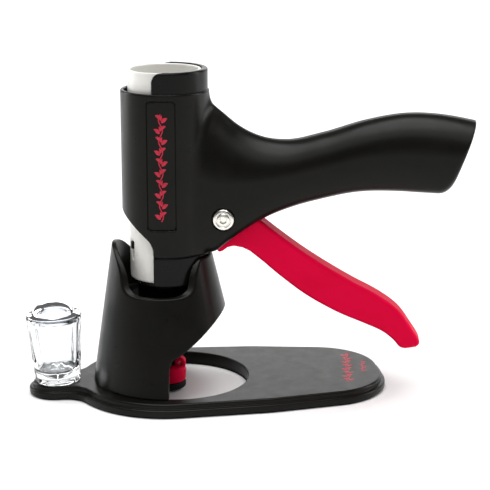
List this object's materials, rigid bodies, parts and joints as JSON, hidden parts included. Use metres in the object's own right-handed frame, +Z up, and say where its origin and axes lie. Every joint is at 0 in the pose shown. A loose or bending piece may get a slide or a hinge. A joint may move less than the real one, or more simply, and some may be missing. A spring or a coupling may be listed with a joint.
{
  "type": "bulb planter",
  "caption": "Hand-held trigger planter: barrel with open liner and pistol grip, in a docking cup on a stepped base, with a sprung nose and a small clear lidded cup.",
  "frame": {"origin": "on the barrel's axis, on the surface that the base stands on", "axes": "+X from the barrel along the grip, +Y away from the face that shows the pivot screw's head, +Z up along the barrel's axis"},
  "size_m": [0.2153, 0.0959, 0.1595],
  "materials": {
    "black_body": "satin",
    "black_sleeve": "satin",
    "black_rubber": "matte",
    "white_liner": "semi-gloss",
    "white_nylon": "satin",
    "crimson": "satin",
    "label": "satin, with a crimson band",
    "steel": "bright",
    "spring_steel": "drawn wire",
    "bush_brass": "turned",
    "clear_plastic": "clear, polished"
  },
  "bodies": {
    "stand": {"base_plate": "black_body", "base_mat": "black_rubber", "docking_cup": "black_body", "cup_screws": "steel", "seat_ring": "black_rubber"},
    "tool": {"front_shell": "black_body", "rear_shell": "black_body", "inner_sleeve": "black_sleeve", "liner_tube": "white_liner", "liner_catch": "black_sleeve", "end_plug": "black_sleeve", "plug_screws": "steel", "label_strip": "label", "shell_screws": "steel", "pivot_screw": "steel", "pivot_nut": "steel", "pivot_bush": "bush_brass", "nose_stem": "black_sleeve", "trigger_spring": "spring_steel", "nose_spring": "spring_steel"},
    "trigger": {"trigger": "crimson", "roller_pin": "steel", "drive_rollers": "white_nylon"},
    "piston": {"piston": "white_nylon", "piston_ring": "black_rubber"},
    "nose": {"nose_tip": "crimson", "nose_rod": "black_sleeve", "nose_foot": "black_rubber"},
    "cup": {"clear_cup": "clear_plastic"},
    "lid": {"dome_lid": "clear_plastic"}
  },
  "joints": [
    {"name": "tool_lift", "type": "slide", "parent": "stand", "child": "tool", "axis": [0, 0, 1], "range_m": [0, 0.085]},
    {"name": "trigger_swing", "type": "hinge", "parent": "tool", "child": "trigger", "pos_m": [0.0285, 0, 0.0892], "axis": [0, -1, 0], "range_deg": [0, 26], "stiffness_Nm_per_rad": 0.08, "springref_deg": -22.92},
    {"name": "piston_drive", "type": "slide", "parent": "tool", "child": "piston", "axis": [0, 0, -1], "range_m": [0, 0.009]},
    {"name": "nose_press", "type": "slide", "parent": "tool", "child": "nose", "axis": [0, 0, 1], "range_m": [0, 0.005], "stiffness_N_per_m": 150, "springref_m": -0.004, "deforming": ["nose_spring"]},
    {"name": "cup_lift", "type": "slide", "parent": "stand", "child": "cup", "axis": [0, 0, 1], "range_m": [0, 0.06]},
    {"name": "lid_lift", "type": "slide", "parent": "cup", "child": "lid", "axis": [0, 0, 1], "range_m": [0, 0.04]}
  ],
  "couplings": [
    {"joint": "piston_drive", "follows": "trigger_swing", "m_per_rad": 0.019833}
  ]
}
